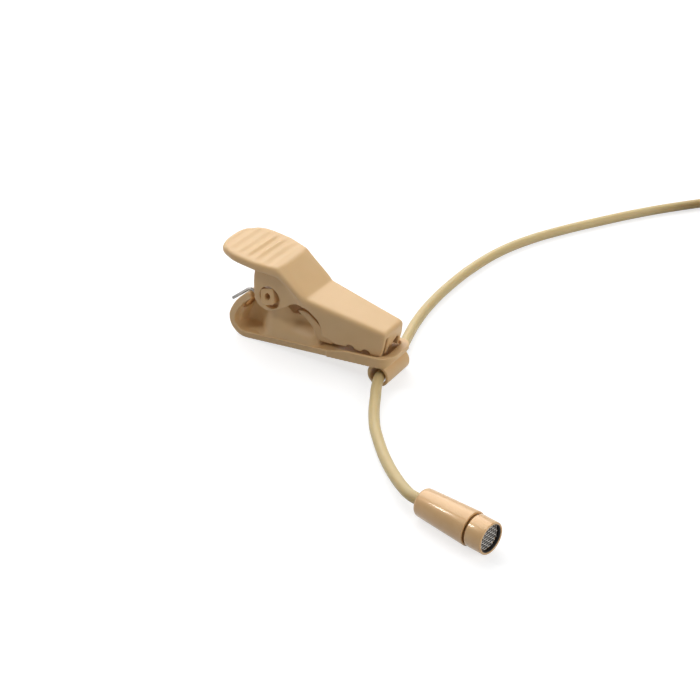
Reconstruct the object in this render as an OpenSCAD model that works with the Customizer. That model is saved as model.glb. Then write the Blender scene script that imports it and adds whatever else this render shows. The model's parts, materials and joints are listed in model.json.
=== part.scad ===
// Subminiature lavalier microphone with its clothing clip, lead and connector.
// The whole set lies on the plane z = 0: +X runs along the clip from thumb pad to nose, +Z is up.

/* [Clip lower arm] */
// Width of the lower arm's floor and rear wall
arm_w = 6.7; // [6.4:0.1:7]
// Thickness of the band that forms rear wall, bend and floor
band_t = 1.1; // [0.9:0.05:1.3]
// Outer radius of the rear bend
bend_r = 2.9; // [2.6:0.1:3.2]
// Outer radius of the rear wall's curve
rear_r = 9.7; // [9.4:0.1:10.2]
// Angle at which the rear wall leaves the bend
rear_lean = 23; // [20:1:25]
// Rise of the floor from bend to nose, in degrees
floor_rise = 7.2; // [6:0.1:8.2]
// Distance from the rear of the bend to the tip of the nose
lower_len = 29.8; // [28.8:0.1:31.5]
// Outer width of the nose tray
tray_w = 7; // [6.8:0.1:7.4]
// Wall of the nose tray's rim
rim_t = 0.45; // [0.35:0.05:0.5]
// Height of the tray's rim above its floor
rim_h = 0.65; // [0.4:0.05:0.9]
// Width of the neck between the ears
neck_w = 3.9; // [3.2:0.1:4.2]
// Hole through the rear wall
wall_hole_d = 1.9; // [1.4:0.1:2.2]
// Width of the web that carries the hinge pegs
web_w = 4.5; // [4.3:0.1:4.6]
// Wall of the web
web_t = 0.6; // [0.5:0.05:0.7]

/* [Cable holder] */
// Outer diameter of the holder under the nose
holder_d = 3.7; // [3.5:0.1:3.9]
// Wall of the holder
holder_t = 0.5; // [0.4:0.05:0.6]
// Length of the holder across the nose
holder_len = 6.2; // [5:0.1:6.6]
// Opening along the bottom of the holder
holder_gap = 1.5; // [1.3:0.05:1.6]

/* [Hinge] */
// Height of the hinge axis
hinge_z = 8.9; // [8.7:0.05:9.1]
// Distance of the hinge axis from the rear of the bend
hinge_x = 7.7; // [7.5:0.1:7.9]
// Side of the squared hinge pegs
peg_side = 2.4; // [2.1:0.05:2.4]
// Bore in the end of each peg
peg_bore = 1; // [0.7:0.05:1.1]
// Hole in each ear
ear_hole_d = 3.7; // [3.7:0.05:3.9]
// Outer radius of the ears
ear_r = 2.75; // [2.7:0.05:2.9]
// Thickness of the ears and the jaw's walls
ear_t = 0.8; // [0.65:0.05:0.85]

/* [Clip upper arm] */
// Width of the thumb pad near its rear
pad_w = 9.3; // [9.1:0.1:9.7]
// Width of the thumb pad at its front
pad_front_w = 7.2; // [7:0.1:7.6]
// Thickness of the thumb pad
pad_t = 1.4; // [1.3:0.05:1.6]
// Height of the thumb pad's top at its rear
pad_z = 15.9; // [15.5:0.1:16.4]
// How much lower the pad's top is at its front
pad_fall = 1.1; // [0.6:0.1:1.4]
// How far the thumb pad overhangs the rear bend
pad_over = 1.2; // [0.6:0.1:2]
// Width at the waist between pad and jaw
waist_w = 6.6; // [6.5:0.1:6.8]
// Height of the top at the waist
waist_z = 11; // [10.8:0.1:11.3]
// Width of the jaw's front end
jaw_w = 5.3; // [5:0.1:5.5]
// Height of the jaw's top at the front
jaw_z = 8.9; // [8.6:0.1:9.3]
// Number of grooves across the pad
groove_count = 6; // [4:1:7]
// Distance between the grooves
groove_pitch = 1.42; // [1.2:0.02:1.5]
// Depth of a groove
groove_depth = 0.25; // [0.1:0.05:0.35]
// Radius of the scallops between the jaw's side teeth
scallop_r = 0.85; // [0.6:0.05:0.95]

/* [Clip spring] */
// Wire of the torsion spring
spring_wire = 0.4; // [0.3:0.05:0.45]
// Mean diameter of the spring's coil
spring_d = 2.3; // [2.1:0.1:2.5]
// Distance between the spring's turns
spring_pitch = 0.85; // [0.82:0.01:0.88]

/* [Head] */
// Diameter of the body at its front
body_d = 4.8; // [4.75:0.05:5.2]
// Diameter of the body at its rear
body_rear_d = 4; // [3.8:0.05:4.3]
// Length of the body
body_len = 8.6; // [8.4:0.1:10]
// Rounding of the body's rear edge
body_round = 0.8; // [0.4:0.05:1]
// Groove between body and cap
cap_gap = 0.35; // [0.2:0.05:0.5]
// Diameter of the front cap
cap_d = 4.5; // [4.45:0.05:4.6]
// Length of the front cap
cap_len = 2.6; // [2.5:0.1:3.4]
// Opening in the front cap
mouth_d = 3.9; // [3.8:0.05:3.95]
// Depth of the grille behind the cap's front edge
mouth_depth = 0.5; // [0.3:0.05:0.8]
// Distance between the grille's wires
mesh_pitch = 0.36; // [0.34:0.01:0.5]
// Wire of the grille
mesh_wire = 0.14; // [0.12:0.01:0.18]
// Diameter of the electret capsule
capsule_d = 3.5; // [3.4:0.05:3.5]
// Length of the electret capsule
capsule_len = 2.2; // [2:0.05:2.4]

/* [Lead] */
// Diameter of the cable
cable_d = 1.65; // [1.5:0.05:1.7]
// Loops in each layer of the put away cable
coil_loops = 5; // [3:1:5]
// Distance between the coil's turns
coil_pitch = 2.1; // [2.08:0.01:2.16]
// Diameter at the middle of the coil's turns
coil_mid_d = 18.6; // [18:0.1:19.2]
// Width of the tie round the coil
tie_w = 3; // [2:0.1:4]
// Thickness of the tie
tie_t = 0.5; // [0.4:0.05:0.8]

/* [Connector] */
// Diameter of the nose that enters the socket
nose_d = 8.4; // [8:0.05:8.8]
// Length of the nose
nose_len = 9; // [8:0.1:10]
// Diameter of the shell
shell_d = 10.2; // [9.6:0.1:11]
// Length of the shell behind the nose
shell_len = 13; // [11:0.1:16]
// Wall of the nose
nose_t = 0.6; // [0.5:0.05:0.8]
// Diameter of the circle of contacts
contact_pcd = 3.6; // [3.5:0.1:3.8]
// Diameter of a contact
contact_d = 1.1; // [1:0.05:1.2]
// Length of the bend relief behind the shell
boot_len = 9; // [7:0.1:12]
// Travel of the latch button
latch_travel = 0.6; // [0.4:0.05:0.7]

/* [Hidden] */
$fn = 64;

// Where the clip, the head, the coil and the connector lie on the plane
clip_at = [-29.4, 12.5];
head_at = [18.8, -12.6];
head_turn = -11;
coil_at = [36.4, 91.5];
plug_at = [66.2, 107.5];
plug_turn = 168;

run_gap = 0.3; // between faces that move past each other
seat_gap = 0.05; // between a loose piece and its seat
eps = 0.01;

plastic_tan = [0.87, 0.74, 0.58];
cable_tan = [0.82, 0.74, 0.56];
steel = [0.7, 0.7, 0.72];
brass = [0.8, 0.65, 0.35];
nickel = [0.75, 0.74, 0.7];
dark_plastic = [0.15, 0.15, 0.16];

function dir(a) = [cos(a), sin(a)];
function unit(v) = v / norm(v);

// ---- shapes that repeat ----

// A profile drawn in x and z, made w wide and centred on y
module across(w, y = 0) {
    translate([0, y + w / 2, 0]) rotate([90, 0, 0]) linear_extrude(w) children();
}

// Two circles and the straight sides that touch both
module taper_bar(p, r1, q, r2) {
    d = norm(q - p);
    along = atan2(q.y - p.y, q.x - p.x);
    lean = acos((r1 - r2) / d);
    translate(p) circle(r1);
    translate(q) circle(r2);
    // the sides run just inside the tangents, so that they cross both circles
    polygon([
        p + (r1 - eps) * dir(along + lean), q + (r2 - eps) * dir(along + lean),
        q + (r2 - eps) * dir(along - lean), p + (r1 - eps) * dir(along - lean)
    ]);
}

// The part of the plane between two directions from a centre
module wedge(c, a1, a2, r) {
    steps = 4;
    polygon(concat([c], [for (i = [0:steps]) c + r * dir(a1 + (a2 - a1) * i / steps)]));
}

// An arc of a flat ring
module arc_band(c, r_out, r_in, a1, a2) {
    intersection() {
        translate(c) difference() {
            circle(r_out);
            circle(r_in);
        }
        wedge(c, a1, a2, 3 * r_out);
    }
}

module tube(d_out, d_in, len) {
    difference() {
        cylinder(d = d_out, h = len);
        translate([0, 0, -eps]) cylinder(d = d_in, h = len + 2 * eps);
    }
}

// A closed tube of n sides swept along points, its ends square to its first and last steps
function path_dir(p, i) =
    unit(i == 0 ? p[1] - p[0] : i == len(p) - 1 ? p[i] - p[i - 1] : p[i + 1] - p[i - 1]);
function side_of(t, up) = unit(cross(up, t));
function ring(p, i, r, n, up) =
    let (t = path_dir(p, i), s = side_of(t, up), u = cross(t, s))
    [for (k = [0:n - 1]) p[i] + r * (cos((k + 0.5) * 360 / n) * s + sin((k + 0.5) * 360 / n) * u)];

module sweep(p, r, n, up = [0, 0, 1]) {
    last = (len(p) - 1) * n;
    sides = [for (i = [0:len(p) - 2], k = [0:n - 1], half = [0, 1])
        let (a = i * n + k, b = i * n + (k + 1) % n)
        half == 0 ? [a, a + n, b] : [b, a + n, b + n]];
    ends = [for (k = [1:n - 2], half = [0, 1])
        half == 0 ? [0, k, k + 1] : [last, last + k + 1, last + k]];
    polyhedron([for (i = [0:len(p) - 1]) each ring(p, i, r, n, up)], concat(sides, ends));
}

// Points halfway and at each given point of a smooth curve, whose first and last spans stay straight
function curve_at(a, b, c, d, t) =
    0.5 * (2 * b + (c - a) * t + (2 * a - 5 * b + 4 * c - d) * t ^ 2 + (3 * b - a - 3 * c + d) * t ^ 3);
function smooth(p) = let (n = len(p)) concat(
    [p[0]], [for (i = [1:n - 3], t = [0, 0.5]) curve_at(p[i - 1], p[i], p[i + 1], p[i + 2], t)],
    [p[n - 2], p[n - 1]]);

// ---- clip: driving points, measured from the rear of the bend on the plane ----

bend_c = [bend_r, bend_r];
rear_c = bend_c + (rear_r - bend_r) * dir(-rear_lean);
hinge = [hinge_x, hinge_z];
neck_top_a = 124; // direction of the neck's end from the rear wall's centre
wall_hole_a = 148;
floor_dir = dir(floor_rise);
floor_norm = dir(floor_rise + 90);
floor_from = bend_c - bend_r * floor_norm;

// A point over the floor's underside: x along the clip, up square to the floor
function over_floor(x, up) = floor_from + floor_dir * (x - floor_from.x) / floor_dir.x + up * floor_norm;

neck_mid_r = rear_r - band_t / 2;
ear_c = hinge + [-0.3, 0.2];
shoulder_r = ear_r + norm(ear_c - hinge) + run_gap; // the shoulders stop clear of the turning ears
web_slot = 0.7; // between rear wall and web
corner_a = 150; // direction of the top of the web's closed rear corner
corner_z = rear_c.y + neck_mid_r * sin(corner_a);
boss_r = 1.25;
web_dip = hinge + [2.9, -3.2]; // the web's edge dips between the hinge and its crest
web_dip_r = 1.2;
web_crest = [13.6, 5.6];
web_crest_r = 2.2;
web_foot = [18.4, 4];
web_foot_r = 0.5;
slot_reach = 2.2; // how far the spring's slot reaches in front of the hinge
slot_drop = 1.9; // and below it
peg_reach = (web_w / 2 + run_gap / 2) + ear_t - 0.05;
peg_round = 0.4;
tray_from = lower_len - 11.3;
tray_ramp = 3.5;
tray_round = 2.2;
holder_x = lower_len - 2.35;
holder_z = holder_d / 2 - 0.25; // its lips end flat on the plane
nose_bevel = 1;

module lower_band() {
    arc_band(rear_c, rear_r, rear_r - band_t, neck_top_a, 180 - rear_lean);
    arc_band(bend_c, bend_r, bend_r - band_t, 180 - rear_lean, 270 + floor_rise);
    translate(rear_c + neck_mid_r * dir(neck_top_a)) circle(band_t / 2 - 2 * eps);
}

module floor_profile(up, x_end) {
    polygon([floor_from, over_floor(x_end, 0), over_floor(x_end, up), floor_from + up * floor_norm]);
}

// Side outline of the hollow web, drawn in by a wall
module web_profile(inset = 0) {
    in_floor = band_t / 2;
    taper_bar(hinge, boss_r - inset, web_dip, web_dip_r - inset);
    taper_bar(web_dip, web_dip_r - inset, web_crest, web_crest_r - inset);
    taper_bar(web_crest, web_crest_r - inset, web_foot, web_foot_r);
    intersection() {
        translate(rear_c) circle(rear_r - band_t - web_slot - inset);
        polygon([
            over_floor(bend_r, in_floor), over_floor(web_foot.x, in_floor), web_foot,
            web_crest, web_dip, hinge, [0, hinge.y], [0, bend_r]
        ]);
    }
    // rear corner, closed against the rear wall
    polygon([
        over_floor(bend_r, in_floor), over_floor(hinge.x, in_floor), [hinge.x, corner_z],
        [rear_c.x + neck_mid_r * cos(corner_a), corner_z],
        rear_c + neck_mid_r * dir(180 - rear_lean), [in_floor, bend_r]
    ]);
}

module peg() {
    s = peg_side / 2 - peg_round;
    rotate([90, 0, 0]) rotate([0, 0, 15]) linear_extrude(peg_reach - web_w / 2 + web_t) difference() {
        union() {
            for (x = [-s, s], y = [-s, s]) translate([x, y]) circle(peg_round);
            square([2 * s, peg_side], center = true);
            square([peg_side, 2 * s], center = true);
        }
        circle(d = peg_bore);
    }
}

module tray_plan(inset) {
    w = tray_w / 2 - inset;
    r = tray_round - inset;
    x1 = lower_len - inset;
    difference() {
        translate([tray_from, -w]) square([x1 - tray_from, 2 * w]);
        for (s = [-1, 1]) difference() {
            translate([x1 - r, s > 0 ? w - r : -w]) square([r + 1, r]);
            translate([x1 - r, s * (w - r)]) circle(r);
        }
    }
}

module tray() {
    difference() {
        intersection() {
            linear_extrude(hinge_z) tray_plan(0);
            across(tray_w + 1) difference() {
                polygon([
                    over_floor(tray_from, 0), over_floor(lower_len + 1, 0),
                    over_floor(lower_len + 1, band_t + rim_h),
                    over_floor(tray_from + tray_ramp, band_t + rim_h), over_floor(tray_from, band_t)
                ]);
                polygon([
                    over_floor(lower_len - nose_bevel, -1), over_floor(lower_len - nose_bevel, 0),
                    over_floor(lower_len, nose_bevel), over_floor(lower_len + 2, nose_bevel),
                    over_floor(lower_len + 2, -1)
                ]);
            }
        }
        intersection() {
            translate([-1, 0, 0]) linear_extrude(hinge_z) tray_plan(rim_t);
            linear_extrude(hinge_z) tray_plan(rim_t);
            across(tray_w) polygon([
                over_floor(tray_from - 1, band_t), over_floor(lower_len, band_t),
                over_floor(lower_len, 4), over_floor(tray_from - 1, 4)
            ]);
        }
    }
}

module holder() {
    across(holder_len) difference() {
        union() {
            translate([holder_x, holder_z]) circle(d = holder_d);
            translate([holder_x - 1.1, holder_z]) square([2.2, holder_d / 2 + 0.2]);
        }
        translate([holder_x, holder_z]) circle(d = holder_d - 2 * holder_t);
        translate([holder_x - holder_gap / 2, -1]) square([holder_gap, holder_z + 1]);
        translate([holder_x - holder_d, holder_z - 2 * holder_d])
            square([2 * holder_d, 2 * holder_d - holder_z]);
    }
}

module clip_lower_arm() {
    color(plastic_tan) translate([clip_at.x, clip_at.y, 0]) {
        difference() {
            union() {
                difference() {
                    across(arm_w) {
                        lower_band();
                        floor_profile(band_t, tray_from + 0.3);
                    }
                    // shoulders cut back round the ears
                    for (s = [-1, 1]) across(arm_w, s * (neck_w + arm_w) / 2)
                        translate(hinge) circle(shoulder_r);
                }
                difference() {
                    across(web_w) web_profile();
                    across(web_w - 2 * web_t) web_profile(web_t);
                    across(web_w - 2 * web_t) translate([0, hinge.y - slot_drop])
                        square([hinge.x + slot_reach, slot_drop + 2 * boss_r]);
                }
                for (s = [0, 1]) translate([hinge.x, 0, hinge.y]) mirror([0, s, 0])
                    translate([0, -(web_w / 2 - web_t), 0]) peg();
                tray();
                holder();
            }
            translate([rear_c.x, 0, rear_c.y]) rotate([0, 90 - wall_hole_a, 0])
                translate([0, 0, rear_r - 2 * band_t]) cylinder(d = wall_hole_d, h = 3 * band_t);
        }
    }
}

// ---- clip: upper arm ----

edge_r = 0.65; // rounding of the top's edges
pad_front = 10.1;
pad_round = 3.2; // rounding of the pad's rear corners
pad_front_round = 1.5;
pad_mid = [6.8, 9]; // where the pad's sides start to draw in, and its width there
waist_x = 14.8;
jaw_end = lower_len - 1.3;
ear_w = web_w + run_gap + 2 * ear_t;
hole_c = hinge + [0.3, -0.13]; // the pegs bear on the rear of the ears' holes
ear_heel = ear_c + (ear_r - 3 * eps) * dir(-58);
arch_c = [13.8, 5.7];
arch_r = 3.6;
arch_join = arch_c + (arch_r - 2 * eps) * dir(136);
tooth_z = 4.55;
tooth_pitch = 2.7;
notch_x = jaw_end - 3.4; // of the foremost notch between the side teeth
notch_drop = 0.3; // of the scallops' centres below the teeth's tips
heel = [19.7, 4.4];
front_t = 0.8;
front_lean = 0.9; // the front leans back by this much at the teeth
// The front wall's face at a height
function front_x(z) = jaw_end - front_lean * (jaw_z - edge_r - z) / (jaw_z - edge_r - tooth_z);
function pad_top(x) = pad_z - pad_fall * (x + pad_over) / (pad_front + pad_over);

module pad_corner(x, y, r) {
    translate([x, y, pad_top(x) - pad_t / 2]) rotate_extrude($fn = 32) intersection() {
        translate([r - pad_t / 2, 0]) circle(d = pad_t, $fn = 16);
        translate([0, -pad_t]) square([r, 2 * pad_t]);
    }
}

module thumb_pad() {
    hull() for (s = [-1, 1]) {
        pad_corner(pad_round - pad_over, s * (pad_w / 2 - pad_round), pad_round);
        pad_corner(pad_mid.x, s * (pad_mid.y / 2 - pad_front_round), pad_front_round);
        pad_corner(pad_front - pad_front_round, s * (pad_front_w / 2 - pad_front_round), pad_front_round);
    }
}

// Four corners of a block across the arm, rounded at the top
module station(x, z, w, foot) {
    for (s = [-1, 1]) {
        translate([x, s * (w / 2 - edge_r), z - edge_r]) sphere(edge_r, $fn = 32);
        translate([x, s * (w / 2 - edge_r), foot]) cylinder(r = edge_r, h = eps, $fn = 32);
    }
}

module arm_side() {
    difference() {
        union() {
            translate(ear_c) circle(ear_r);
            polygon([
                ear_c + (ear_r - 2 * eps) * dir(178), [ear_c.x - 1.8, pad_z - pad_t], [pad_front, pad_z + 1],
                [waist_x, waist_z + 1], [jaw_end, jaw_z + 1], [jaw_end, jaw_z - edge_r],
                [front_x(tooth_z), tooth_z], [heel.x + 1.4, tooth_z], heel, [heel.x - 1.4, heel.y + 0.6],
                [arch_c.x, arch_c.y], ear_heel
            ]);
        }
        translate(arch_c) circle(arch_r);
        polygon([ear_heel, arch_join, arch_c, [arch_c.x, 3], [ear_heel.x, 3]]);
        for (i = [0, 1]) translate([notch_x - i * tooth_pitch, tooth_z - notch_drop]) circle(scallop_r);
    }
}

// Room inside the arm, in plan
module arm_room() {
    w0 = web_w / 2 + run_gap / 2;
    w1 = jaw_w / 2 - ear_t;
    polygon([
        [-1, -w0], [web_foot.x, -w0], [web_foot.x + 1, -w1], [jaw_end, -w1],
        [jaw_end, w1], [web_foot.x + 1, w1], [web_foot.x, w0], [-1, w0]
    ]);
}

// Cut under the front wall: a slit beside the near wall, a long tooth, a short one and a wide gap
module front_zigzag() {
    w = jaw_w / 2 - ear_t;
    polygon([
        [-w - 0.25, 3], [-w - 0.25, jaw_z - 1.1], [-w + 0.35, jaw_z - 1.1], [-w + 0.4, tooth_z - 0.1],
        [-w + 0.85, tooth_z - 0.1], [-w + 1.5, tooth_z + 1.5], [-w + 1.75, tooth_z + 0.7],
        [-w + 1.95, tooth_z + 0.7], [-w + 2.35, tooth_z + 1.5], [w - 0.6, tooth_z + 2],
        [w + 0.1, tooth_z + 1.4], [w + 0.1, 3]
    ]);
}

module clip_upper_arm() {
    roof = pad_t - 0.1;
    color(plastic_tan) translate([clip_at.x, clip_at.y, 0]) difference() {
        union() {
            thumb_pad();
            intersection() {
                union() {
                    hull() {
                        station(ear_c.x - 2, pad_top(ear_c.x - 2) - 0.1, ear_w, 3.5);
                        station(pad_front, pad_top(pad_front), ear_w, 3.5);
                        station(waist_x, waist_z, waist_w, 3.5);
                    }
                    hull() {
                        station(waist_x, waist_z, waist_w, 3.5);
                        station(jaw_end - edge_r, jaw_z, jaw_w, 3.5);
                    }
                }
                across(pad_w + 2) arm_side();
            }
        }
        intersection() {
            linear_extrude(pad_z) arm_room();
            across(pad_w) polygon([
                [-1, 3], [-1, pad_top(-1) - pad_t], [pad_front, pad_top(pad_front) - pad_t],
                [waist_x, waist_z - roof], [front_x(jaw_z - roof) - front_t, jaw_z - roof],
                [front_x(tooth_z) - front_t, tooth_z], [front_x(tooth_z) - front_t, 3]
            ]);
        }
        // zigzag lower edge of the front wall, with a slit beside the near wall
        translate([front_x(tooth_z) - front_t - 0.2, 0, 0]) rotate([90, 0, 90])
            linear_extrude(front_t + front_lean + 1) front_zigzag();
        translate([hole_c.x, 0, hole_c.y]) rotate([90, 0, 0])
            cylinder(d = ear_hole_d, h = pad_w + 2, center = true);
        for (i = [1:groove_count]) {
            x = pad_front + 0.8 - i * groove_pitch;
            translate([x, 0, pad_top(x) + groove_depth]) rotate([90, 0, 0])
                cylinder(r = 2 * groove_depth, h = pad_w + 1, center = true);
        }
    }
}

// ---- clip: torsion spring ----

spring_r = spring_d / 2;
pad_touch = [1.6, pad_top(1.6) - pad_t - spring_wire / 2 - seat_gap];
floor_touch = over_floor(bend_r + 1, band_t + spring_wire / 2 + seat_gap);

// Direction from the coil's centre of the point where a leg leaves it
function leg_a(q, s) = let (v = q - hinge) atan2(v.y, v.x) + s * acos(spring_r / norm(v));
spring_from = leg_a(pad_touch, -1);
spring_to = leg_a(floor_touch, 1) - 360 * (leg_a(floor_touch, 1) > spring_from ? 1 : 0);
spring_turn = spring_from - spring_to + 720;
spring_steps = floor(spring_turn / 45);
spring_axial = spring_turn / 360 * spring_pitch;

module clip_spring() {
    coil = [for (i = [0:spring_steps])
        let (a = spring_from - spring_turn * i / spring_steps)
        [hinge.x + spring_r * cos(a), spring_axial * (i / spring_steps - 0.5), hinge.y + spring_r * sin(a)]];
    legs_out = [[pad_touch.x, -spring_axial / 2, pad_touch.y]];
    legs_in = [[floor_touch.x, spring_axial / 2, floor_touch.y]];
    color(steel) translate([clip_at.x, clip_at.y, 0])
        sweep(concat(legs_out, coil, legs_in), spring_wire / 2, 6, [0, 1, 0]);
}

// ---- head: every piece is drawn along +Z from the body's rear, then laid down ----

head_tilt = atan((body_d - body_rear_d) / 2 / body_len);
cap_from = body_len + cap_gap;
cap_front = cap_from + cap_len;
skirt_d = body_d - 0.8;
skirt_len = 1.7;
skirt_bore = capsule_d + 2 * seat_gap;
bore_len = skirt_len + 0.6;
mesh_t = 0.15;
mesh_at = cap_front - mouth_depth - mesh_t;
felt_t = 0.3;
felt_at = mesh_at - felt_t - seat_gap;
can_at = felt_at - capsule_len - seat_gap;
can_t = 0.12;
can_lip = 0.25;
board_t = 0.3;
core_bore = 3.2;
crimp_at = 1.4;
crimp_len = 2.6;
crimp_d = 2.6;
jacket_end = 4.6;

module lay_head() {
    translate([head_at.x, head_at.y, body_rear_d / 2 * cos(head_tilt)])
        rotate([0, 0, head_turn]) rotate([0, 90 - head_tilt, 0]) children();
}

module head_body() {
    r1 = body_rear_d / 2;
    r2 = body_d / 2;
    lean = atan((r2 - r1) / body_len);
    color(plastic_tan) lay_head() difference() {
        rotate_extrude() {
            difference() {
                polygon([[0, 0], [r1, 0], [r2, body_len], [0, body_len]]);
                translate([r1 - body_round, -eps]) square([body_round + 1, body_round]);
            }
            intersection() {
                translate([r1 - body_round + body_round * tan(lean), body_round]) circle(body_round);
                square([r1 + 1, body_round + 0.2]);
            }
            square([r1 - body_round + eps, body_round + eps]);
        }
        translate([0, 0, -eps]) cylinder(d = cable_d + 2 * seat_gap, h = crimp_at + 1);
        translate([0, 0, crimp_at]) cylinder(d = crimp_d + 2 * seat_gap, h = crimp_len + 2);
        translate([0, 0, crimp_at + crimp_len + 0.3]) cylinder(d = core_bore, h = body_len);
        translate([0, 0, body_len - bore_len]) cylinder(d = skirt_d + 2 * seat_gap, h = bore_len + 1);
    }
}

module front_cap() {
    bevel = 0.15;
    color(plastic_tan) lay_head() difference() {
        union() {
            translate([0, 0, cap_from]) cylinder(d = cap_d, h = cap_len - bevel);
            translate([0, 0, cap_front - bevel])
                rotate_extrude() polygon([[0, 0], [cap_d / 2, 0], [cap_d / 2 - bevel, bevel], [0, bevel]]);
            translate([0, 0, cap_from - skirt_len]) cylinder(d = skirt_d, h = skirt_len + 0.1);
        }
        translate([0, 0, cap_from - skirt_len - 1]) cylinder(d = skirt_bore, h = cap_len + skirt_len + 2);
        translate([0, 0, mesh_at]) cylinder(d = mouth_d, h = cap_len);
    }
}

module grille_mesh() {
    r = mouth_d / 2 - seat_gap / 2;
    hole = mesh_pitch - mesh_wire;
    n = ceil(r / mesh_pitch);
    rim = 0.2;
    color(steel) lay_head() translate([0, 0, mesh_at]) linear_extrude(mesh_t) difference() {
        circle(r);
        for (i = [-n:n], j = [-n:n])
            if (norm([abs(i) * mesh_pitch + hole / 2, abs(j) * mesh_pitch + hole / 2]) < r - rim)
                translate([i, j] * mesh_pitch) square(hole, center = true);
    }
}

module dust_felt() {
    color(dark_plastic) lay_head() translate([0, 0, felt_at]) cylinder(d = capsule_d, h = felt_t);
}

module capsule_can() {
    color(nickel) lay_head() translate([0, 0, can_at]) difference() {
        cylinder(d = capsule_d, h = capsule_len);
        translate([0, 0, can_t]) cylinder(d = capsule_d - 2 * can_t, h = capsule_len - 2 * can_t);
        translate([0, 0, -eps]) cylinder(d = capsule_d - 2 * can_t - 2 * can_lip, h = can_t + 2 * eps);
        translate([0, 0, capsule_len - 1]) cylinder(d = 0.7, h = 2);
    }
}

// Inside the can, from its front wall back: ring, film, spacer, plate in its holder, contact, board
inner_d = capsule_d - 2 * can_t - 2 * seat_gap;
ring_h = 0.2;
film_t = 0.05;
spacer_t = 0.08;
plate_t = 0.2;
stack_top = can_at + capsule_len - can_t;
ring_at = stack_top - ring_h;
film_at = ring_at - film_t;
spacer_at = film_at - spacer_t;
plate_at = spacer_at - plate_t;
board_at = can_at + can_t;
holder_h = spacer_at - board_at - board_t;
holder_bore = 2.3;
plate_seat_d = 2.8;

module diaphragm_ring() {
    color(brass) lay_head() translate([0, 0, ring_at]) tube(inner_d, inner_d - 0.6, ring_h);
}

module diaphragm() {
    color([0.8, 0.8, 0.75]) lay_head() translate([0, 0, film_at]) cylinder(d = inner_d, h = film_t);
}

module spacer_ring() {
    color(dark_plastic) lay_head() translate([0, 0, spacer_at]) tube(inner_d, inner_d - 0.7, spacer_t);
}

module backplate() {
    color(brass) lay_head() translate([0, 0, plate_at]) difference() {
        cylinder(d = plate_seat_d - 2 * seat_gap, h = plate_t);
        for (i = [0:5]) rotate([0, 0, 60 * i]) translate([0.8, 0, -eps]) cylinder(d = 0.25, h = 1);
    }
}

module backplate_holder() {
    color([0.9, 0.9, 0.85]) lay_head() translate([0, 0, board_at + board_t]) difference() {
        cylinder(d = inner_d, h = holder_h);
        translate([0, 0, -eps]) cylinder(d = holder_bore, h = holder_h + 1);
        translate([0, 0, holder_h - plate_t]) cylinder(d = plate_seat_d, h = 1);
    }
}

module contact_ring() {
    color(brass) lay_head() translate([0, 0, board_at + board_t])
        tube(holder_bore - 2 * seat_gap, holder_bore - 0.35, holder_h - plate_t);
}

module circuit_board() {
    color([0.1, 0.4, 0.2]) lay_head() translate([0, 0, board_at]) cylinder(d = inner_d, h = board_t);
}

module transistor() {
    color(dark_plastic) lay_head() translate([-0.6, -0.4, board_at + board_t]) cube([1.2, 0.8, 0.45]);
}

// Two cores and the screen's tail, from the jacket's cut end to the board
module lead_wires() {
    wire_d = 0.4;
    colours = [[0.8, 0.1, 0.1], [0.9, 0.9, 0.9], brass];
    for (i = [0:2]) color(colours[i]) lay_head()
        rotate([0, 0, 120 * i]) translate([0.45, 0, jacket_end]) cylinder(d = wire_d, h = board_at - jacket_end);
}

module cable_crimp() {
    color(brass) lay_head() translate([0, 0, crimp_at]) tube(crimp_d, cable_d + seat_gap, crimp_len);
}

module cable_end() {
    color(cable_tan) lay_head() cylinder(d = cable_d, h = jacket_end);
}

// ---- lead: a list of points chosen along the route, then the coil, then the tail ----

rest_z = cable_d / 2;
head_dir = [cos(head_turn) * cos(head_tilt), sin(head_turn) * cos(head_tilt), sin(head_tilt)];
head_exit = [head_at.x, head_at.y, body_rear_d / 2 * cos(head_tilt)];
holder_y = clip_at.y - holder_len / 2;
coil_r = coil_mid_d / 2 + coil_loops / 2 * coil_pitch;
coil_from_a = 140; // direction of the coil's first point from its centre
coil_start = [coil_at.x + coil_r * cos(coil_from_a), coil_at.y + coil_r * sin(coil_from_a), rest_z];
coil_dir = [sin(coil_from_a), -cos(coil_from_a), 0];

lead_points = [
    head_exit, head_exit - 1.2 * cable_d * head_dir, [15.2, -11.3, 1.75], [13.8, -10.3, 1.55],
    [12.3, -9.1, 1.35], [10.7, -7.7, 1.1], [9, -6.1, 0.9], [7.4, -4.5, rest_z], [5.8, -2.8, rest_z],
    [4.3, -1.1, rest_z], [3, 0.7, rest_z], [1.6, 2.9, 0.85], [0.4, 5.1, 1], [-0.9, 7.5, 1.2],
    [-1.75, 9.8, 1.35], [-1.95, 12.5, 1.35], [-2.15, 15.2, 1.35], [-3.2, 18.5, 1.15], [-4.5, 22.5, 0.9],
    [-5.7, 27.2, rest_z], [-6.6, 33.3, rest_z], [-6.9, 40.5, rest_z], [-6.6, 47.2, rest_z],
    [-5.4, 54.8, rest_z], [-3.1, 61.5, rest_z], [0, 67.6, rest_z], [4.3, 74.7, rest_z],
    [9, 81.8, rest_z], [13.9, 88.2, rest_z], [19, 94, rest_z],
    coil_start - 2 * cable_d * coil_dir, coil_start - eps * coil_dir
];

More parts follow.
